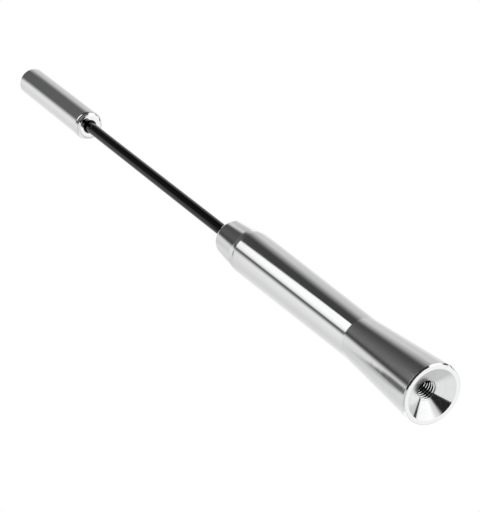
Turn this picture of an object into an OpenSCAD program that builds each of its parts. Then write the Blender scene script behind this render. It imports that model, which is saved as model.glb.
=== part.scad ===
// Car mast aerial: a turned base that screws on a stud, a slim sheathed mast and a turned cap.
// Millimetres. The foot stands on z = 0 and the mast runs up the Z axis.

/* [Base] */
// Length of the base, from the foot to the end of the nose
base_len = 91.8; // [80:0.2:120]
// Largest diameter of the foot, just above its bevel
foot_d = 15; // [14:0.1:18]
// Height and width of the bevel round the foot
foot_bevel = 0.35; // [0.1:0.05:0.6]
// Length of the flare, from the foot to the crease that ends it
flare_len = 28.5; // [20:0.5:40]
// Diameter at the crease, the narrowest place of the base
waist_d = 11; // [9:0.1:12]
// Diameter at the shoulder, where the barrel is thickest
shoulder_d = 12; // [9:0.1:13]
// Length of the tapered nose, from the shoulder to its end
nose_len = 11; // [8:0.1:20]
// Diameter of the nose at its end, before the corner is rounded
nose_d = 9.7; // [7.6:0.1:10.5]
// Radius of the shoulder
shoulder_r = 20; // [5:5:90]
// Radius of the nose's rounded corner
nose_r = 1.6; // [0.4:0.1:2]

/* [Mouth and stud hole] */
// Width of the flat lip that the aerial stands on
lip_w = 0.95; // [0.6:0.05:1.5]
// Radius of the lip's inner edge
lip_r = 0.25; // [0.05:0.05:0.4]
// Full angle of the countersunk mouth
mouth_angle = 120; // [100:1:140]
// Diameter of the stud hole at the root of its thread
thread_d = 5; // [4:0.1:6]
// Length of the threaded wall
thread_len = 11; // [6:0.5:18]
// Depth of one side of the thread, from root to crest
thread_depth = 0.43; // [0.3:0.01:0.6]
// Length of the plain hole left above the thread by the tapping drill
runout_len = 2; // [0.5:0.5:4]

/* [Mast] */
// Length of the mast that shows between the base and the cap
mast_len = 88.7; // [40:0.1:300]
// Outer diameter of the plastic sheath
sleeve_d = 3.2; // [2.6:0.1:3.6]
// Wall of the sheath
sleeve_wall = 0.55; // [0.3:0.05:0.8]
// Depth that the sheath goes into the base
sleeve_in_base = 10; // [4:1:16]
// Depth that the sheath goes into the cap
sleeve_in_cap = 12; // [4:1:20]
// Length of bare wire past the sheath, inside the cap
wire_in_cap = 8; // [3:1:14]
// Radius of the small chamfer on the wire's ends
wire_chamfer = 0.2; // [0.05:0.05:0.4]

/* [Ferrule] */
// Length of the contact ferrule
ferrule_len = 12; // [8:1:20]
// Number of crimped grooves round the ferrule
crimp_count = 3; // [1:1:4]
// Width of one crimped groove
crimp_w = 1; // [0.5:0.1:1.5]
// Depth of one crimped groove
crimp_depth = 0.15; // [0.05:0.01:0.25]
// Chamfer on the ferrule's ends
ferrule_chamfer = 0.2; // [0.05:0.05:0.25]

/* [Cap] */
// Length of the cap
cap_len = 44.5; // [36:0.5:80]
// Diameter of the cap
cap_d = 8.7; // [7:0.1:11]
// Width of the chamfer on the cap's outer end
cap_chamfer = 0.3; // [0.1:0.05:0.8]
// Radius of the rounded corner at the cap's lower end
cap_lower_r = 1.3; // [0.2:0.1:1.5]
// Diameter of the countersink that the mast comes out of
cap_sink_d = 4.2; // [3.6:0.1:6.4]
// Full angle of that countersink
cap_sink_angle = 100; // [80:5:130]

/* [Fits] */
// Gap all round each piece that is glued or pressed into a bore
fit_gap = 0.03; // [0.01:0.01:0.08]
// Gap left past the end of the bare wire in the cap
end_gap = 0.4; // [0.1:0.1:1]
// Width of the chamfer at the mouth of the mast's bore in the nose
bore_chamfer = 0.25; // [0.05:0.05:0.3]
// Point angle of the drills that made the blind holes
drill_angle = 118; // [90:1:140]

/* [Hidden] */
$fn = 120;
// Straight steps in one rounded corner of a profile
arc_steps = 10;
// How far a cutting solid reaches past the face that it opens
past = 1;

foot_r = foot_d / 2;
lip_out_r = foot_r - foot_bevel;
mouth_r = lip_out_r - lip_w;
thread_r = thread_d / 2;
drill_r = thread_r - thread_depth;
mouth_depth = (mouth_r - thread_r) / tan(mouth_angle / 2);
drill_top = mouth_depth + thread_len + runout_len;
shoulder_z = base_len - nose_len;

sleeve_r = sleeve_d / 2;
sleeve_in_r = sleeve_r - sleeve_wall;
wire_r = sleeve_in_r - fit_gap;
bore_r = sleeve_r + fit_gap;
sleeve_z = base_len - sleeve_in_base;
ferrule_z = sleeve_z - ferrule_len;
cap_z = base_len + mast_len;
sleeve_top = cap_z + sleeve_in_cap;
wire_top = sleeve_top + wire_in_cap;
pilot_r = wire_r + fit_gap;
pilot_top = wire_top + end_gap;
sink_depth = (cap_sink_d / 2 - bore_r) / tan(cap_sink_angle / 2);

alloy = [0.86, 0.87, 0.88];
plastic = [0.06, 0.06, 0.065];
steel = [0.62, 0.62, 0.64];
brass = [0.80, 0.64, 0.30];

function unit(v) = v / norm(v);

// Points of an arc of radius r, tangent to a-b and b-c, that rounds the corner b
function corner_arc(a, b, c, r) =
    let (u = unit(a - b),
         v = unit(c - b),
         half = acos(u * v) / 2,
         centre = b + unit(u + v) * r / sin(half),
         from = b + u * r / tan(half) - centre,
         start = atan2(from[1], from[0]),
         turn = sign(cross(b - a, c - b)) * (180 - 2 * half))
    [for (i = [0 : arc_steps])
        let (angle = start + turn * i / arc_steps)
        centre + r * [cos(angle), sin(angle)]];

// Outline through corners [radius from the axis, height, rounding]
function rounded(corners) =
    let (n = len(corners),
         at = [for (p = corners) [p[0], p[1]]])
    [for (i = [0 : n - 1])
        each corners[i][2] == 0
            ? [at[i]]
            : corner_arc(at[(i + n - 1) % n], at[i], at[(i + 1) % n], corners[i][2])];

// A blind drilled hole that opens downwards at z = 0, with the drill's cone at its end
module blind_hole(r, depth) {
    translate([0, 0, -past]) cylinder(r = r, h = depth + past);
    translate([0, 0, depth]) cylinder(r1 = r, r2 = 0, h = r / tan(drill_angle / 2));
}

// A round bar with a chamfer on each end
module chamfered_bar(r, length, low, high) {
    rotate_extrude()
        polygon([[0, 0], [r - low, 0], [r, low], [r, length - high], [r - high, length], [0, length]]);
}

// Nose, barrel, flare, bevelled lip and countersunk mouth in one turned profile
module base_bar() {
    rotate_extrude()
        polygon(rounded([
            [0, mouth_depth, 0],
            [thread_r, mouth_depth, 0],
            [mouth_r, 0, lip_r],
            [lip_out_r, 0, 0],
            [foot_r, foot_bevel, 0],
            [waist_d / 2, flare_len, 0],
            [shoulder_d / 2, shoulder_z, shoulder_r],
            [nose_d / 2, base_len, nose_r],
            [0, base_len, 0]
        ]));
}

module base_grip() {
    color(alloy)
        difference() {
            base_bar();
            translate([0, 0, mouth_depth]) cylinder(r = thread_r, h = 2 * thread_len, center = true);
            blind_hole(drill_r, drill_top);
            mast_bore();
        }
}

// The mast's bore in the nose: straight wall, chamfered mouth and the drill's cone below the ferrule
module mast_bore() {
    translate([0, 0, base_len])
        mirror([0, 0, 1]) {
            blind_hole(bore_r, base_len - ferrule_z);
            cylinder(r1 = bore_r + bore_chamfer, r2 = bore_r, h = bore_chamfer);
        }
}

module mast_sleeve() {
    color(plastic)
        translate([0, 0, sleeve_z])
            difference() {
                cylinder(r = sleeve_r, h = sleeve_top - sleeve_z);
                translate([0, 0, -past]) cylinder(r = sleeve_in_r, h = sleeve_top - sleeve_z + 2 * past);
            }
}

module mast_core() {
    color(steel)
        translate([0, 0, ferrule_z])
            chamfered_bar(wire_r, wire_top - ferrule_z, wire_chamfer, wire_chamfer);
}

// Brass tube round the bare wire, squeezed on it by evenly spaced grooves
module contact_ferrule() {
    pitch = ferrule_len / (crimp_count + 1);
    color(brass)
        translate([0, 0, ferrule_z])
            difference() {
                chamfered_bar(sleeve_r, ferrule_len, ferrule_chamfer, ferrule_chamfer);
                translate([0, 0, -past]) cylinder(r = sleeve_in_r, h = ferrule_len + 2 * past);
                for (i = [1 : crimp_count])
                    translate([0, 0, i * pitch]) crimp();
            }
}

// Ring that cuts one shallow groove with slanted sides
module crimp() {
    rotate_extrude()
        polygon([
            [sleeve_r - crimp_depth, -crimp_w / 2 + crimp_depth],
            [sleeve_r + crimp_depth, -crimp_w / 2 - crimp_depth],
            [sleeve_r + crimp_depth, crimp_w / 2 + crimp_depth],
            [sleeve_r - crimp_depth, crimp_w / 2 - crimp_depth]
        ]);
}

// Plain bar of the cap, rounded where the mast goes in and chamfered at its outer end
module cap_bar() {
    rotate_extrude()
        polygon(rounded([
            [0, 0, 0],
            [cap_d / 2, 0, cap_lower_r],
            [cap_d / 2, cap_len - cap_chamfer, 0],
            [cap_d / 2 - cap_chamfer, cap_len, 0],
            [0, cap_len, 0]
        ]));
}

module tip_cap() {
    color(alloy)
        translate([0, 0, cap_z])
            difference() {
                cap_bar();
                translate([0, 0, -past]) cylinder(r = bore_r, h = sleeve_in_cap + past);
                blind_hole(pilot_r, pilot_top - cap_z);
                cylinder(r1 = cap_sink_d / 2, r2 = bore_r, h = sink_depth);
            }
}

base_grip();
mast_sleeve();
mast_core();
contact_ferrule();
tip_cap();
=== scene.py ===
"""Finish, thread, studio and camera for a short screw-on car aerial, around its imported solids."""

import math

import bpy
from mathutils import Matrix, Vector


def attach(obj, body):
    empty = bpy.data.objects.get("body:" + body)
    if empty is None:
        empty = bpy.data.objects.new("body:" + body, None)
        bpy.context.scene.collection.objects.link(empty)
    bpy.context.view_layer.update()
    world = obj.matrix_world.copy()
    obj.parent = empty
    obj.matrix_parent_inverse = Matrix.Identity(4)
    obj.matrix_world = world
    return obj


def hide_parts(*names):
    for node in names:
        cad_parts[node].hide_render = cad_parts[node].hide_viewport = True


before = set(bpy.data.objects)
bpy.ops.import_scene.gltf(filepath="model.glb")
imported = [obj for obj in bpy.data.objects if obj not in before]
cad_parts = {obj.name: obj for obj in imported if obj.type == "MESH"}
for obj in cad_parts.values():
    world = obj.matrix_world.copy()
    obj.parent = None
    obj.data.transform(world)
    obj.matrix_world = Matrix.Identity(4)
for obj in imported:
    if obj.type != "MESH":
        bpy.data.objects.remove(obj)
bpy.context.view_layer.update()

MM = 0.001

# Sizes of the turned pieces, in millimetres, the same as the solids'
BASE_LEN = 91.8
FOOT_R = 7.5
FOOT_BEVEL = 0.35
FLARE_LEN = 28.5
WAIST_R = 5.5
SHOULDER_R = 6.0
SHOULDER_ROUNDING = 20.0
NOSE_LEN = 11.0
NOSE_R = 4.85
NOSE_ROUNDING = 1.6
LIP_W = 0.95
LIP_ROUNDING = 0.25
MOUTH_HALF_ANGLE = math.radians(60)
THREAD_R = 2.5
THREAD_LEN = 11.0
THREAD_DEPTH = 0.43
THREAD_PITCH = 0.8
# Flats of a metric thread's crests and roots, as shares of its pitch
CREST_FLAT = 0.25
ROOT_FLAT = 0.125
RUNOUT_LEN = 2.0
MAST_LEN = 88.7
SLEEVE_R = 1.6
SLEEVE_WALL = 0.55
SLEEVE_IN_BASE = 10.0
SLEEVE_IN_CAP = 12.0
WIRE_IN_CAP = 8.0
FERRULE_LEN = 12.0
CAP_LEN = 44.5
CAP_R = 4.35
CAP_CHAMFER = 0.3
CAP_LOWER_ROUNDING = 1.3
CAP_SINK_R = 2.1
CAP_SINK_HALF_ANGLE = math.radians(50)
FIT_GAP = 0.03
END_GAP = 0.4
BORE_CHAMFER = 0.25
DRILL_HALF_ANGLE = math.radians(59)
# Radius that a polisher leaves on an edge, on the foot's outer edge, which is handled most, and in
# the crease between flare and barrel
EDGE = 0.05
FOOT_EDGE = 0.25
CREASE = 0.4

# Straight steps round a turned piece, and in one rounded corner of its outline
TURN_STEPS = 192
CORNER_STEPS = 12
# Height of one ring of the threaded wall, fine enough for the flanks
THREAD_RING = 0.05
# How near the ends of a long straight stretch its holding rings lie, which keep its shading flat,
# and the length from which a stretch gets them
HOLD = 0.06
LONG_STRETCH = 0.6
# A corner that turns more than this stays a crisp line
CRISP = math.radians(18)
# Radius, in millimetres, below which a point of an outline is on the axis
ON_AXIS = 1e-6
# How near the bore's wall, in millimetres, a point counts as part of it
ON_WALL = 0.01
# How much two points of one ring may differ in height and in radius, in metres
RING_HEIGHT_SLACK = 1e-9
RING_RADIUS_SLACK = 1e-8


def rounded(corners):
    """Outline through (radius, height, rounding) corners, with an arc in each rounded one."""
    points = []
    for i, (r, z, fillet) in enumerate(corners):
        here = Vector((r, z))
        if not fillet:
            points.append(here)
            continue
        before = (Vector(corners[i - 1][:2]) - here).normalized()
        after = (Vector(corners[(i + 1) % len(corners)][:2]) - here).normalized()
        half = before.angle(after) / 2
        centre = here + (before + after).normalized() * fillet / math.sin(half)
        start = here + before * fillet / math.tan(half) - centre
        side = math.copysign(1, before.cross(after))
        for k in range(CORNER_STEPS + 1):
            angle = -side * (math.pi - 2 * half) * k / CORNER_STEPS
            points.append(centre + Matrix.Rotation(angle, 2) @ start)
    return points


def held(outline, closed):
    """Outline with a holding point near each end of its long straight stretches."""
    points = []
    for i, here in enumerate(outline):
        points.append(here)
        last = i == len(outline) - 1
        if last and not closed:
            break
        along = outline[(i + 1) % len(outline)] - here
        if along.length > LONG_STRETCH:
            points.append(here + along.normalized() * HOLD)
            points.append(here + along - along.normalized() * HOLD)
    return points


def mark_crisp(mesh, outline, rows, closed):
    """Makes the rings of edges sharp at the corners where the outline turns most."""
    count = len(outline)
    crisp = set()
    for i in range(count):
        if not closed and i in (0, count - 1):
            continue
        into = outline[i] - outline[i - 1]
        out = outline[(i + 1) % count] - outline[i]
        if into.length and out.length and into.angle(out) > CRISP:
            crisp.update(rows[i])
    for edge in mesh.edges:
        a, b = edge.vertices
        rise = mesh.vertices[a].co.z - mesh.vertices[b].co.z
        spread = mesh.vertices[a].co.xy.length - mesh.vertices[b].co.xy.length
        one_ring = abs(rise) < RING_HEIGHT_SLACK and abs(spread) < RING_RADIUS_SLACK
        edge.use_edge_sharp = one_ring and a in crisp and b in crisp


def turned(name, outline, closed=False):
    """Spins an outline round the Z axis. An end that lies on the axis becomes one pole point."""
    outline = held(outline, closed)
    count = len(outline)
    rows, verts = [], []
    for p in outline:
        if p.x < ON_AXIS:
            rows.append([len(verts)] * TURN_STEPS)
            verts.append((0, 0, p.y * MM))
            continue
        rows.append(range(len(verts), len(verts) + TURN_STEPS))
        for k in range(TURN_STEPS):
            a = math.tau * k / TURN_STEPS
            verts.append((p.x * MM * math.cos(a), p.x * MM * math.sin(a), p.y * MM))
    faces = []
    for i in range(count if closed else count - 1):
        low, high = rows[i], rows[(i + 1) % count]
        for k in range(TURN_STEPS):
            n = (k + 1) % TURN_STEPS
            ring = (low[k], low[n], high[n], high[k])
            faces.append(tuple(dict.fromkeys(ring)))
    mesh = bpy.data.meshes.new(name)
    mesh.from_pydata(verts, [], faces)
    mesh.polygons.foreach_set("use_smooth", [True] * len(faces))
    mark_crisp(mesh, outline, rows, closed)
    piece = bpy.data.objects.new(name, mesh)
    bpy.context.scene.collection.objects.link(piece)
    return piece


def drill_cone(r):
    """Height of the cone that a drill of this radius leaves at the end of its hole."""
    return r / math.tan(DRILL_HALF_ANGLE)


def make_base(material):
    """Base: blind threaded hole, mouth, lip, flare, barrel and nose in one outline."""
    mouth_r = FOOT_R - FOOT_BEVEL - LIP_W
    mouth_depth = (mouth_r - THREAD_R) / math.tan(MOUTH_HALF_ANGLE)
    drill_r = THREAD_R - THREAD_DEPTH
    thread_top = mouth_depth + THREAD_LEN
    drill_top = thread_top + RUNOUT_LEN
    bore_r = SLEEVE_R + FIT_GAP
    bore_floor = BASE_LEN - SLEEVE_IN_BASE - FERRULE_LEN
    rings = round(THREAD_LEN / THREAD_RING)
    wall = [(THREAD_R, mouth_depth + THREAD_LEN * i / rings, 0) for i in range(rings, -1, -1)]
    outline = rounded(
        [(0, drill_top + drill_cone(drill_r), 0), (drill_r, drill_top, 0), (drill_r, thread_top, 0)]
        + wall
        + [
            (mouth_r, 0, LIP_ROUNDING),
            (FOOT_R - FOOT_BEVEL, 0, FOOT_EDGE),
            (FOOT_R, FOOT_BEVEL, EDGE),
            (WAIST_R, FLARE_LEN, CREASE),
            (SHOULDER_R, BASE_LEN - NOSE_LEN, SHOULDER_ROUNDING),
            (NOSE_R, BASE_LEN, NOSE_ROUNDING),
            (bore_r + BORE_CHAMFER, BASE_LEN, EDGE),
            (bore_r, BASE_LEN - BORE_CHAMFER, 0),
            (bore_r, bore_floor, 0),
            (0, bore_floor - drill_cone(bore_r), 0),
        ]
    )
    base = turned("base_turned", outline)
    cut_thread(base, mouth_depth, thread_top, material)
    return base


def node(tree, kind, at, **values):
    """One node with its settings, at a place in the tree. An input goes by its number or name."""
    made = tree.nodes.new(kind)
    made.location = at
    inputs = values.pop("inputs", {})
    for key, value in values.items():
        setattr(made, key, value)
    for key, value in inputs.items():
        made.inputs[key].default_value = value
    return made


def fill(tree, made, terms):
    """Gives a node's inputs their values in order: a number is set and a socket is linked."""
    for i, term in enumerate(terms):
        if isinstance(term, bpy.types.NodeSocket):
            tree.links.new(term, made.inputs[i])
        else:
            made.inputs[i].default_value = term
    return made.outputs[0]


def calc(tree, operation, *terms):
    return fill(tree, node(tree, "ShaderNodeMath", (0, 0), operation=operation), terms)


def thread_tree():
    """Geometry nodes that raise helical thread crests on a bore's wall between two heights."""
    tree = bpy.data.node_groups.new("thread crests", "GeometryNodeTree")
    face = tree.interface
    face.new_socket("Geometry", in_out="INPUT", socket_type="NodeSocketGeometry")
    for title in ("Wall radius", "Pitch", "Depth", "From height", "To height", "Mouth slope"):
        face.new_socket(title, in_out="INPUT", socket_type="NodeSocketFloat")
    face.new_socket("Material", in_out="INPUT", socket_type="NodeSocketMaterial")
    face.new_socket("Geometry", in_out="OUTPUT", socket_type="NodeSocketGeometry")
    start = node(tree, "NodeGroupInput", (-1400, 0))
    end = node(tree, "NodeGroupOutput", (1400, 0))

    def link(a, b):
        tree.links.new(a, b)

    def work_out(operation, *terms):
        return calc(tree, operation, *terms)

    place = node(tree, "GeometryNodeInputPosition", (-1400, -300))
    parts = node(tree, "ShaderNodeSeparateXYZ", (-1200, -300))
    link(place.outputs[0], parts.inputs[0])
    x, y, z = parts.outputs
    squares = work_out("ADD", work_out("MULTIPLY", x, x), work_out("MULTIPLY", y, y))
    radius = work_out("SQRT", squares)
    angle = work_out("DIVIDE", work_out("ARCTAN2", y, x), math.tau)
    turns = work_out("SUBTRACT", work_out("DIVIDE", z, start.outputs["Pitch"]), angle)
    # Share of the pitch from the middle of the nearest crest, which lies half a pitch up each turn
    from_crest = work_out("ABSOLUTE", work_out("SUBTRACT", work_out("FRACT", turns), 0.5))
    root_edge = (1 - ROOT_FLAT) / 2
    flank_run = root_edge - CREST_FLAT / 2
    flank = work_out("DIVIDE", work_out("SUBTRACT", root_edge, from_crest), flank_run)
    flank = work_out("MAXIMUM", work_out("MINIMUM", flank, 1.0), 0.0)
    crest = work_out("MULTIPLY", flank, start.outputs["Depth"])
    # The countersink has cut away what would stand in it
    above = work_out("SUBTRACT", z, start.outputs["From height"])
    crest = work_out("MINIMUM", crest, work_out("MULTIPLY", above, start.outputs["Mouth slope"]))
    crest = work_out("MAXIMUM", crest, 0.0)
    share = work_out("DIVIDE", work_out("SUBTRACT", radius, crest), radius)
    moved = node(tree, "ShaderNodeCombineXYZ", (700, -200))
    link(work_out("MULTIPLY", x, share), moved.inputs[0])
    link(work_out("MULTIPLY", y, share), moved.inputs[1])
    link(z, moved.inputs[2])
    off_wall = work_out("ABSOLUTE", work_out("SUBTRACT", radius, start.outputs["Wall radius"]))
    on_wall = work_out("LESS_THAN", off_wall, ON_WALL * MM)
    low_enough = work_out("LESS_THAN", z, start.outputs["To height"])
    high_enough = work_out("GREATER_THAN", above, 0.0)
    inside = work_out("MULTIPLY", on_wall, work_out("MULTIPLY", low_enough, high_enough))
    shift = node(tree, "GeometryNodeSetPosition", (1000, 0))
    real = node(tree, "GeometryNodeRealizeInstances", (1150, 0))
    dressed = node(tree, "GeometryNodeSetMaterial", (1300, 0))
    link(start.outputs["Geometry"], shift.inputs["Geometry"])
    link(inside, shift.inputs["Selection"])
    link(moved.outputs[0], shift.inputs["Position"])
    link(shift.outputs[0], real.inputs[0])
    link(real.outputs[0], dressed.inputs["Geometry"])
    link(start.outputs["Material"], dressed.inputs["Material"])
    link(dressed.outputs[0], end.inputs[0])
    return tree


def bake_nodes(piece, tree, sizes):
    """Runs a node tree on a piece with its sizes and keeps the result as the plain mesh."""
    work = piece.modifiers.new(tree.name, "NODES")
    work.node_group = tree
    keys = {s.name: s.identifier for s in tree.interface.items_tree if s.in_out == "INPUT"}
    for title, value in sizes.items():
        work[keys[title]] = value
    done = piece.evaluated_get(bpy.context.evaluated_depsgraph_get())
    mesh = bpy.data.meshes.new_from_object(done)
    piece.modifiers.remove(work)
    piece.data = mesh


def cut_thread(base, low, high, material):
    """Thread of the stud's hole, between two heights in millimetres."""
    bake_nodes(base, thread_tree(), {
        "Wall radius": THREAD_R * MM,
        "Pitch": THREAD_PITCH * MM,
        "Depth": THREAD_DEPTH * MM,
        "From height": low * MM,
        "To height": high * MM,
        "Mouth slope": math.tan(MOUTH_HALF_ANGLE),
        "Material": material,
    })


def make_cap():
    """Cap: stepped bore for wire and sheath, countersink and plain cylinder in one outline."""
    z = BASE_LEN + MAST_LEN
    top = z + CAP_LEN
    bore_r = SLEEVE_R + FIT_GAP
    pilot_r = SLEEVE_R - SLEEVE_WALL
    shoulder = z + SLEEVE_IN_CAP
    pilot_top = shoulder + WIRE_IN_CAP + END_GAP
    sink = (CAP_SINK_R - bore_r) / math.tan(CAP_SINK_HALF_ANGLE)
    return turned("cap_turned", rounded([
        (0, pilot_top + drill_cone(pilot_r), 0),
        (pilot_r, pilot_top, 0),
        (pilot_r, shoulder, 0),
        (bore_r, shoulder, 0),
        (bore_r, z + sink, 0),
        (CAP_SINK_R, z, EDGE),
        (CAP_R, z, CAP_LOWER_ROUNDING),
        (CAP_R, top - CAP_CHAMFER, EDGE),
        (CAP_R - CAP_CHAMFER, top, EDGE),
        (0, top, 0),
    ]))


def make_sleeve():
    """Sheath: a tube from its seat in the base to its seat in the cap."""
    low = BASE_LEN - SLEEVE_IN_BASE
    high = BASE_LEN + MAST_LEN + SLEEVE_IN_CAP
    inner = SLEEVE_R - SLEEVE_WALL
    return turned("sleeve_sheath", rounded([
        (inner, low, 0),
        (SLEEVE_R, low, EDGE),
        (SLEEVE_R, high, EDGE),
        (inner, high, 0),
    ]), closed=True)


# Share of a move from the axis that counts as feed beside a move along it
FEED_IN = 0.9

# Soft edges between finishes of the polished metal, in millimetres from the axis or up from the
# foot. The mouth inside its edge is less smooth than the outside. Painted shade darkens the stud's
# hole, on its roots and deep in it, and the cap's bore
MOUTH_R = (6.15, 6.35)
MOUTH_TOP = (2.3, 2.6)
HOLE_R = (2.52, 2.62)
HOLE_TOP = (18, 20)
ROOT_R = (2.26, 2.40)
ROOT_START = (2.1, 2.5)
DEEP_START = (6, 10)
CAP_BORE_R = (1.7, 1.9)
CAP_BORE_START = (180.9, 182)
CAP_BORE_TOP = (205, 207)
# Tilt of the thread's faces from which painted shade darkens them, as the height of their normal:
# minus one looks straight out of the mouth, and nought looks across the hole
SHADED_TILT = (-0.75, -0.45)


class Finish:
    """A material and short ways to add and join its nodes."""

    def __init__(self, name):
        self.material = bpy.data.materials.new(name)
        self.material.use_nodes = True
        self.tree = self.material.node_tree
        self.shader = self.tree.nodes["Principled BSDF"]
        self.column = 0
        place = self.add("ShaderNodeTexCoord")
        self.place = place.outputs["Object"]

    def add(self, kind, **values):
        self.column += 1
        return node(self.tree, kind, (-2600 + 180 * self.column, 300), **values)

    def join(self, a, b):
        self.tree.links.new(a, b)

    def calc(self, operation, *terms):
        return fill(self.tree, self.add("ShaderNodeMath", operation=operation), terms)

    def span(self, value, low, high, to_low, to_high):
        return fill(self.tree, self.add("ShaderNodeMapRange"), (value, low, high, to_low, to_high))

    def within(self, length, edge):
        """One up to a soft edge, given in millimetres, and nought beyond it."""
        return self.span(length, edge[0] * MM, edge[1] * MM, 1.0, 0.0)

    def beyond(self, length, edge):
        """One beyond a soft edge, given in millimetres, and nought up to it."""
        return self.span(length, edge[0] * MM, edge[1] * MM, 0.0, 1.0)

    def all_of(self, mask, *others):
        for other in others:
            mask = self.calc("MULTIPLY", mask, other)
        return mask

    def any_of(self, mask, *others):
        for other in others:
            mask = self.calc("MAXIMUM", mask, other)
        return mask

    def noise(self, vector, scale, detail=2.0, roughness=0.5):
        settings = {"Scale": scale, "Detail": detail, "Roughness": roughness}
        made = self.add("ShaderNodeTexNoise", inputs=settings)
        self.join(vector, made.inputs["Vector"])
        return made.outputs["Fac"]

    def tint(self, value, *stops):
        made = self.add("ShaderNodeValToRGB")
        ramp = made.color_ramp
        while len(ramp.elements) < len(stops):
            ramp.elements.new(1.0)
        for element, (at, colour) in zip(ramp.elements, stops):
            element.position = at
            element.color = (*colour, 1)
        self.join(value, made.inputs[0])
        return made.outputs[0]

    def bump(self, height, strength, distance, after=None):
        made = self.add("ShaderNodeBump", inputs={"Strength": strength, "Distance": distance})
        self.join(height, made.inputs["Height"])
        if after is not None:
            self.join(after, made.inputs["Normal"])
        return made.outputs[0]

    def from_axis(self):
        """The place's x, y and z, and how far it lies from the axis."""
        parts = self.add("ShaderNodeSeparateXYZ")
        self.join(self.place, parts.inputs[0])
        x, y, z = parts.outputs
        squares = self.calc("ADD", self.calc("MULTIPLY", x, x), self.calc("MULTIPLY", y, y))
        return x, y, z, self.calc("SQRT", squares)

    def tool_path(self, around, along):
        """Vector whose features run round the axis: long one way, fine along the tool's feed."""
        x, y, z, radius = self.from_axis()
        feed = self.calc("ADD", z, self.calc("MULTIPLY", radius, FEED_IN))
        joined = self.add("ShaderNodeCombineXYZ")
        self.join(self.calc("MULTIPLY", x, around), joined.inputs[0])
        self.join(self.calc("MULTIPLY", y, around), joined.inputs[1])
        self.join(self.calc("MULTIPLY", feed, along), joined.inputs[2])
        return joined.outputs[0]

    def set(self, **sockets):
        """Sets or links the shader's own sockets, named with underscores for blanks."""
        for title, value in sockets.items():
            socket = self.shader.inputs[title.replace("_", " ")]
            if isinstance(value, bpy.types.NodeSocket):
                self.join(value, socket)
            else:
                socket.default_value = value


def polished_alloy():
    """Turned aluminium, buffed bright outside and left with its tool rings in the mouth."""
    f = Finish("polished alloy")
    x, y, z, radius = f.from_axis()
    grain = f.add("ShaderNodeCombineXYZ")
    f.join(f.calc("MULTIPLY", y, -1.0), grain.inputs[0])
    f.join(x, grain.inputs[1])
    in_mouth = f.all_of(f.within(z, MOUTH_TOP), f.within(radius, MOUTH_R))
    # Painted shade: in the stud's hole the roots, the deep part and the faces turned away from the
    # mouth take a dark colour, as does the cap's bore; only flanks that look out of the mouth stay
    # bright
    in_hole = f.all_of(f.within(radius, HOLE_R), f.within(z, HOLE_TOP))
    roots = f.all_of(f.beyond(radius, ROOT_R), f.beyond(z, ROOT_START))
    facing = f.add("ShaderNodeSeparateXYZ")
    f.join(f.add("ShaderNodeNewGeometry").outputs["True Normal"], facing.inputs[0])
    # Painted shade on the thread's faces that turn away from the mouth
    crests = f.span(facing.outputs[2], *SHADED_TILT, 0.0, 1.0)
    in_hole = f.all_of(in_hole, f.any_of(roots, f.beyond(z, DEEP_START), crests))
    cap_bore = f.all_of(f.beyond(z, CAP_BORE_START), f.within(z, CAP_BORE_TOP))
    in_cap = f.all_of(f.within(radius, CAP_BORE_R), cap_bore)
    rings = f.noise(f.tool_path(60, 9000), 1.0, 3.0, 0.6)
    flecks = f.noise(f.tool_path(350, 14000), 1.0, 1.0)
    haze = f.noise(f.place, 90.0, 3.0)
    clean = f.tint(rings, (0.3, (0.86, 0.865, 0.87)), (0.7, (0.91, 0.912, 0.915)))
    # Painted shade: the hole and cap bore masks take this dark colour
    tone = f.add("ShaderNodeMix", data_type="RGBA")
    tone.inputs["B"].default_value = (0.085, 0.085, 0.088, 1)
    f.join(f.any_of(in_hole, in_cap), tone.inputs["Factor"])
    f.join(clean, tone.inputs["A"])
    fine = f.span(haze, 0.35, 0.65, 0.030, 0.045)
    rough = f.calc("ADD", fine, f.span(flecks, 0.62, 0.75, 0.0, 0.05))
    rough = f.calc("ADD", rough, f.calc("MULTIPLY", in_mouth, 0.09))
    waves = f.noise(f.tool_path(120, 420), 1.0, 1.0)
    ring_bump = f.bump(rings, 0.10, 0.002 * MM, f.bump(waves, 1.0, 0.0025 * MM))
    fleck_bump = f.bump(flecks, 0.08, 0.002 * MM, ring_bump)
    f.set(Base_Color=tone.outputs["Result"], Roughness=rough, Normal=fleck_bump, Metallic=1.0,
          Anisotropic=0.8, Anisotropic_Rotation=0.25, Tangent=grain.outputs[0])
    return f.material


def black_sheath():
    """Extruded satin black plastic with faint lines along the mast and a soft grain."""
    f = Finish("black sheath")
    stretch = f.add("ShaderNodeMapping", inputs={"Scale": (2500, 2500, 30)})
    f.join(f.place, stretch.inputs[0])
    lines = f.noise(stretch.outputs[0], 1.0, 2.0)
    grain = f.noise(f.place, 4000.0, 2.0)
    tone = f.tint(lines, (0.3, (0.0004, 0.0004, 0.0005)), (0.7, (0.0009, 0.0009, 0.001)))
    f.set(Base_Color=tone, Roughness=f.span(grain, 0.3, 0.7, 0.035, 0.06),
          Normal=f.bump(lines, 0.05, 0.005 * MM), Specular_IOR_Level=0.27)
    return f.material


def drawn_steel():
    """Spring wire with drawing lines along its length."""
    f = Finish("drawn steel")
    stretch = f.add("ShaderNodeMapping", inputs={"Scale": (6000, 6000, 60)})
    f.join(f.place, stretch.inputs[0])
    lines = f.noise(stretch.outputs[0], 1.0, 3.0)
    tone = f.tint(lines, (0.3, (0.5, 0.5, 0.52)), (0.7, (0.64, 0.64, 0.66)))
    f.set(Base_Color=tone, Roughness=f.span(lines, 0.3, 0.7, 0.28, 0.42), Metallic=1.0,
          Normal=f.bump(lines, 0.3, 0.01 * MM))
    return f.material


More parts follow.
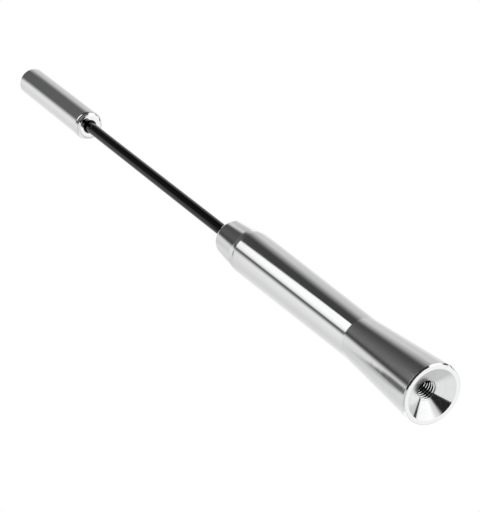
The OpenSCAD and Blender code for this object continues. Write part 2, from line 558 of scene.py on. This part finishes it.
def turned_brass():
    """Brass with tool rings, darker where it has tarnished."""
    f = Finish("turned brass")
    rings = f.noise(f.tool_path(80, 7000), 1.0, 2.0)
    tarnish = f.noise(f.place, 400.0, 4.0)
    tone = f.tint(tarnish, (0.35, (0.62, 0.44, 0.17)), (0.65, (0.82, 0.63, 0.29)))
    f.set(Base_Color=tone, Roughness=f.span(rings, 0.3, 0.7, 0.2, 0.34), Metallic=1.0,
          Normal=f.bump(rings, 0.3, 0.01 * MM))
    return f.material


def put_on(piece, material):
    piece.data.materials.clear()
    piece.data.materials.append(material)


# The white tent round the object, as rings of cloth one above the other. Each ring gives the height
# in degrees where it takes over from the ring below, half the height of that seam, and how bright
# it is by degrees round the mast, eased from one to the next. They count from the camera's side,
# which is open and dark: negative is on the left when the mast stands up, and 180 is behind.
RINGS = (
    ("floor cloth", -90, 0, (
        (-180, 1.0), (-145, 0.65), (-120, 0.85), (20, 0.85), (82, 0.77), (95, 1.1), (180, 1.0))),
    ("wall", -22, 2.0, (
        (-180, 0.95), (-100, 0.72), (-47, 0.87), (-25, 0.06), (54, 0.055), (104, 0.6), (180, 0.95))),
    ("wall's upper hem", 52.0, 0.5, (
        (-180, 1.0), (-120, 0.67), (-46, 0.8), (-23, 0.065), (-4, 0.15), (57, 0.07), (97, 0.58),
        (117, 1.0), (180, 1.05))),
    ("shoulder", 58.6, 0.8, (
        (-180, 1.0), (-100, 0.75), (-48, 0.85), (-12, 0.12), (58, 0.12), (104, 0.6), (180, 0.9))),
    ("roof", 61.8, 0.35, (
        (-180, 1.0), (-115, 0.56), (-49, 0.75), (-26, 0.07), (5, 0.1), (50, 0.08), (76, 0.7),
        (115, 1.03), (180, 1.05))),
)

# Panels sewn in the tent: brightness, softness of the edges in degrees, and the corners of a
# convex outline, each as degrees round, degrees up and, where the edge that starts there is
# softer or crisper than the others, its own softness
PANELS = (
    ("softbox", 0.95, 1.7, (
        (-21, 18, 6.5), (-21, 52.5, 0.35), (12.0, 52.5), (27.8, 47.5), (31, 18, 5))),
    ("softbox's middle", 1.10, 1.7, (
        (-9, 22, 6), (-9, 51.8, 1.0), (13.5, 51.8), (27.2, 47.2), (30, 22, 5))),
    ("streak", 0.48, 0.2, ((-82, 52.1, 12), (-82, 53.9, 0.3), (-56, 53.9, 5), (-56, 52.1))),
    ("middle of the streak", 0.10, 0.2, (
        (-67, 52.1, 7), (-67, 53.75, 0.3), (-43.5, 53.75, 7), (-43.5, 52.1))),
    ("right of the crease", 0.66, 1.2, ((96, 50.2, 5), (96, 54.8), (126, 54.8, 5), (126, 50.2))),
    ("back wall, left", 0.62, 3, ((-190, -26), (-190, 24), (-165, 15), (-130, -12), (-136, -26))),
    ("back wall, right", 0.66, 3, ((136, -26), (130, -12), (165, 15), (190, 24), (190, -26))),
    ("white behind the foot, left", 1.15, 3, ((-168, 20), (-168, 36), (-104, -8), (-104, -24))),
    ("white behind the foot, right", 1.05, 3, ((124, -12), (124, 2), (168, 36), (168, 20))),
    ("grey front, left", 0.60, 4, ((-94, -49, 8), (-94, -23), (-40, -23, 4), (-40, -49))),
    ("open front", 0.03, 3, ((-40, -50, 5), (-40, -26), (68, -26, 3), (68, -50))),
    ("white front, right", 1.15, 3, ((68, -54), (68, 6), (104, 6, 5), (104, -54))),
    ("slot on the right", 0.04, 2, ((108, -21), (108, -8), (120, -8), (120, -21))),
)

# Flat cards hung in the tent: brightness, softness of the edges as a share of the distance, and
# the corners, each as degrees round, degrees up and perhaps its edge's own softness
CARDS = (
    ("table's shadow", 0.015, 0.03, (
        (-134.5, -80, 0.012), (-25.5, -54.3), (-20, -50), (43, -52, 0.10), (126, -76))),
    ("black bar", 0.02, 0.02, ((126, -2), (138.2, -2), (152.8, -37), (151, -41))),
)


def span(tree, value, low, high, to_low=0.0, to_high=1.0, smooth=False):
    shape = "SMOOTHSTEP" if smooth else "LINEAR"
    made = node(tree, "ShaderNodeMapRange", (0, 0), interpolation_type=shape)
    return fill(tree, made, (value, low, high, to_low, to_high))


def grey_ramp(tree, value, stops):
    """Brightness by degrees round the mast, from stops that run once round."""
    made = node(tree, "ShaderNodeValToRGB", (0, 0))
    made.color_ramp.interpolation = "EASE"
    elements = made.color_ramp.elements
    while len(elements) < len(stops):
        elements.new(1.0)
    for element, (degrees, level) in zip(elements, stops):
        element.position = degrees / 360 + 0.5
        element.color = (level, level, level, 1)
    tree.links.new(span(tree, value, -180.0, 180.0), made.inputs[0])
    return made.outputs[0]


def toward(around, up):
    """Unit vector that points so many degrees round the mast and so many up."""
    a, e = math.radians(around), math.radians(up)
    return Vector((math.sin(a) * math.cos(e), -math.cos(a) * math.cos(e), math.sin(e)))


def inside_all(tree, edges):
    """One where every edge's value is well above nought, falling to nought across each edge."""
    mask = None
    for value, soft in edges:
        edge = span(tree, value, -soft, soft, smooth=True)
        mask = edge if mask is None else calc(tree, "MULTIPLY", mask, edge)
    return mask


def sides(corners, soft):
    """Neighbouring corners of a closed outline, with the softness of the edge between them."""
    for a, b in zip(corners, corners[1:] + corners[:1]):
        yield a[:2], b[:2], a[2] if len(a) > 2 else soft


def panel_mask(tree, around, up, corners, soft):
    """One inside an outline that is straight on a map of the tent, corners clockwise."""
    edges = []
    for a, b, edge_soft in sides(corners, soft):
        along = (Vector(b) - Vector(a)).normalized()
        across = Vector((along.y, -along.x))
        value = calc(tree, "MULTIPLY_ADD", around, across.x, -across.dot(Vector(a)))
        edges.append((calc(tree, "MULTIPLY_ADD", up, across.y, value), edge_soft))
    return inside_all(tree, edges)


def card_mask(tree, direction, corners, soft):
    """One where a direction meets the flat card with these corners, and nought outside it."""
    middle = sum((toward(*corner[:2]) for corner in corners), Vector()).normalized()
    edges = []
    for a, b, edge_soft in sides(corners, soft):
        across = toward(*a).cross(toward(*b)).normalized()
        if across.dot(middle) < 0:
            across.negate()
        off_edge = node(tree, "ShaderNodeVectorMath", (0, 0), operation="DOT_PRODUCT")
        fill(tree, off_edge, (direction, across))
        edges.append((off_edge.outputs["Value"], edge_soft))
    return inside_all(tree, edges)


def laid_over(tree, title, below, top, mask):
    """The top colour, or a plain brightness, laid over what is below where the mask is one."""
    both = node(tree, "ShaderNodeMix", (0, 0), data_type="RGBA", label=title)
    tree.links.new(mask, both.inputs["Factor"])
    tree.links.new(below, both.inputs["A"])
    if isinstance(top, float):
        both.inputs["B"].default_value = (top, top, top, 1)
    else:
        tree.links.new(top, both.inputs["B"])
    return both.outputs["Result"]


def tent_group():
    """Shader nodes that turn a direction into the studio's brightness that way."""
    tree = bpy.data.node_groups.new("studio", "ShaderNodeTree")
    face = tree.interface
    face.new_socket("Direction", in_out="INPUT", socket_type="NodeSocketVector")
    face.new_socket("Brightness", in_out="OUTPUT", socket_type="NodeSocketColor")
    start = node(tree, "NodeGroupInput", (-900, 0))
    end = node(tree, "NodeGroupOutput", (900, 0))
    unit = node(tree, "ShaderNodeVectorMath", (-700, 0), operation="NORMALIZE")
    parts = node(tree, "ShaderNodeSeparateXYZ", (-500, 0))
    tree.links.new(start.outputs[0], unit.inputs[0])
    tree.links.new(unit.outputs[0], parts.inputs[0])
    x, y, z = parts.outputs
    round_it = calc(tree, "ARCTAN2", x, calc(tree, "MULTIPLY", y, -1.0))
    round_it = calc(tree, "MULTIPLY", round_it, math.degrees(1))
    up = calc(tree, "MULTIPLY", calc(tree, "ARCSINE", z), math.degrees(1))
    seen = grey_ramp(tree, round_it, RINGS[0][3])
    for title, seam, half, stops in RINGS[1:]:
        above = span(tree, up, seam - half, seam + half)
        seen = laid_over(tree, title, seen, grey_ramp(tree, round_it, stops), above)
    for title, level, soft, corners in PANELS:
        seen = laid_over(tree, title, seen, level, panel_mask(tree, round_it, up, corners, soft))
    for title, level, soft, corners in CARDS:
        seen = laid_over(tree, title, seen, level, card_mask(tree, unit.outputs[0], corners, soft))
    tree.links.new(seen, end.inputs[0])
    return tree


def light_tent(tent):
    """World: plain white behind the object, and the studio's light everywhere else."""
    world = bpy.data.worlds.new("studio")
    bpy.context.scene.world = world
    world.use_nodes = True
    tree = world.node_tree
    tree.nodes.clear()
    out = node(tree, "ShaderNodeOutputWorld", (600, 0))
    direction = node(tree, "ShaderNodeTexCoord", (-600, 0))
    studio = node(tree, "ShaderNodeGroup", (-400, 0), node_tree=tent)
    inside = node(tree, "ShaderNodeBackground", (-100, -100))
    white = node(tree, "ShaderNodeBackground", (-100, 100), inputs={"Color": (1, 1, 1, 1)})
    path = node(tree, "ShaderNodeLightPath", (-100, 400))
    mix = node(tree, "ShaderNodeMixShader", (300, 0))
    tree.links.new(direction.outputs["Generated"], studio.inputs[0])
    tree.links.new(studio.outputs[0], inside.inputs["Color"])
    tree.links.new(path.outputs["Is Camera Ray"], mix.inputs[0])
    tree.links.new(inside.outputs[0], mix.inputs[1])
    tree.links.new(white.outputs[0], mix.inputs[2])
    tree.links.new(mix.outputs[0], out.inputs[0])


# How far the floor lies below the foot, and the radii of its rings of faces from the edge of the
# hole outwards, in metres
FLOOR_DROP = 0.05 * MM
FLOOR_RINGS = (6.9 * MM, 0.03, 0.3, 9.0)
FLOOR_STEPS = 96
# Share of plain white that the camera sees in the matt floor near the foot, and the distances in
# metres between which it grows to the whole
NEAR_WHITE = 0.55
FADE_START = 0.15
FADE_END = 1.2


def floor_material():
    """Pale floor that keeps the object's shadow, fades to white far off and is clear from below.

    It is clear in reflections too, so that polished metal shows the tent's own floor cloth.
    """
    material = bpy.data.materials.new("pale floor")
    material.use_nodes = True
    tree = material.node_tree
    tree.nodes.clear()

    def link(a, b):
        tree.links.new(a, b)

    out = node(tree, "ShaderNodeOutputMaterial", (1000, 0))
    place = node(tree, "ShaderNodeTexCoord", (-900, 0))
    far = node(tree, "ShaderNodeVectorMath", (-700, 200), operation="LENGTH")
    fade = node(tree, "ShaderNodeMapRange", (-500, 200), inputs={
        "From Min": FADE_START, "From Max": FADE_END, "To Min": NEAR_WHITE, "To Max": 1.0})
    matt = node(tree, "ShaderNodeBsdfDiffuse", (-300, 0), inputs={"Color": (0.82, 0.82, 0.82, 1)})
    white = node(tree, "ShaderNodeEmission", (-300, -150), inputs={"Color": (1, 1, 1, 1)})
    seen = node(tree, "ShaderNodeMixShader", (0, 200))
    path = node(tree, "ShaderNodeLightPath", (0, 600))
    for_camera = node(tree, "ShaderNodeMixShader", (300, 0))
    for_gloss = node(tree, "ShaderNodeMixShader", (500, 0))
    side = node(tree, "ShaderNodeNewGeometry", (500, 400))
    clear = node(tree, "ShaderNodeBsdfTransparent", (500, -200))
    both = node(tree, "ShaderNodeMixShader", (750, 0))
    link(place.outputs["Object"], far.inputs[0])
    link(far.outputs["Value"], fade.inputs[0])
    link(fade.outputs[0], seen.inputs[0])
    link(matt.outputs[0], seen.inputs[1])
    link(white.outputs[0], seen.inputs[2])
    link(path.outputs["Is Camera Ray"], for_camera.inputs[0])
    link(matt.outputs[0], for_camera.inputs[1])
    link(seen.outputs[0], for_camera.inputs[2])
    link(path.outputs["Is Glossy Ray"], for_gloss.inputs[0])
    link(for_camera.outputs[0], for_gloss.inputs[1])
    link(clear.outputs[0], for_gloss.inputs[2])
    link(side.outputs["Backfacing"], both.inputs[0])
    link(for_gloss.outputs[0], both.inputs[1])
    link(clear.outputs[0], both.inputs[2])
    link(both.outputs[0], out.inputs[0])
    return material


def lay_floor():
    """Round floor under the foot, with a hole that the foot covers, so light reaches the mouth."""
    verts, faces = [], []
    for r in FLOOR_RINGS:
        for k in range(FLOOR_STEPS):
            a = math.tau * k / FLOOR_STEPS
            verts.append((r * math.cos(a), r * math.sin(a), -FLOOR_DROP))
    for ring in range(len(FLOOR_RINGS) - 1):
        for k in range(FLOOR_STEPS):
            n = (k + 1) % FLOOR_STEPS
            low = ring * FLOOR_STEPS
            faces.append((low + k, low + FLOOR_STEPS + k, low + FLOOR_STEPS + n, low + n))
    mesh = bpy.data.meshes.new("floor")
    mesh.from_pydata(verts, [], faces)
    floor = bpy.data.objects.new("floor", mesh)
    bpy.context.scene.collection.objects.link(floor)
    put_on(floor, floor_material())


# The part's +Z, and the middle of the foot in metres, seen from the camera (right, up, back)
MAST_IN_VIEW = (-0.47718, 0.37931, -0.79276)
FOOT_IN_VIEW = (0.041314, -0.029813, -0.3725)
LENS_MM = 121.8
# Half a pixel, as a share of the picture's longer side, and the nearest and farthest that is seen
HALF_PIXEL = 0.5 / 512
NEAREST = 0.01
FARTHEST = 50


def place_camera():
    """Below the foot and in front of it, so that the mouth shows and the mast runs away."""
    camera = bpy.data.objects.new("camera", bpy.data.cameras.new("camera"))
    bpy.context.scene.collection.objects.link(camera)
    camera.data.lens = LENS_MM
    camera.data.shift_x = -HALF_PIXEL
    camera.data.shift_y = HALF_PIXEL
    camera.data.clip_start = NEAREST
    camera.data.clip_end = FARTHEST
    mast = Vector(MAST_IN_VIEW).normalized()
    foot = Vector(FOOT_IN_VIEW)
    away = (foot - foot.dot(mast) * mast).normalized()
    turn = Matrix((away.cross(mast), away, mast))
    camera.matrix_world = Matrix.Translation(-(turn @ foot)) @ turn.to_4x4()
    bpy.context.scene.camera = camera


def dress(piece, stands_for, material):
    """Puts a finish on a piece and gives it the place of the node that it stands for."""
    put_on(piece, material)
    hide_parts(stands_for)
    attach(piece, "root")


place_camera()
alloy = polished_alloy()
dress(make_base(alloy), "base_grip", alloy)
dress(make_cap(), "tip_cap", alloy)
dress(make_sleeve(), "mast_sleeve", black_sheath())
put_on(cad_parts["mast_core"], drawn_steel())
put_on(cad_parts["contact_ferrule"], turned_brass())

light_tent(tent_group())
lay_floor()
bpy.context.scene.view_settings.view_transform = "Standard"
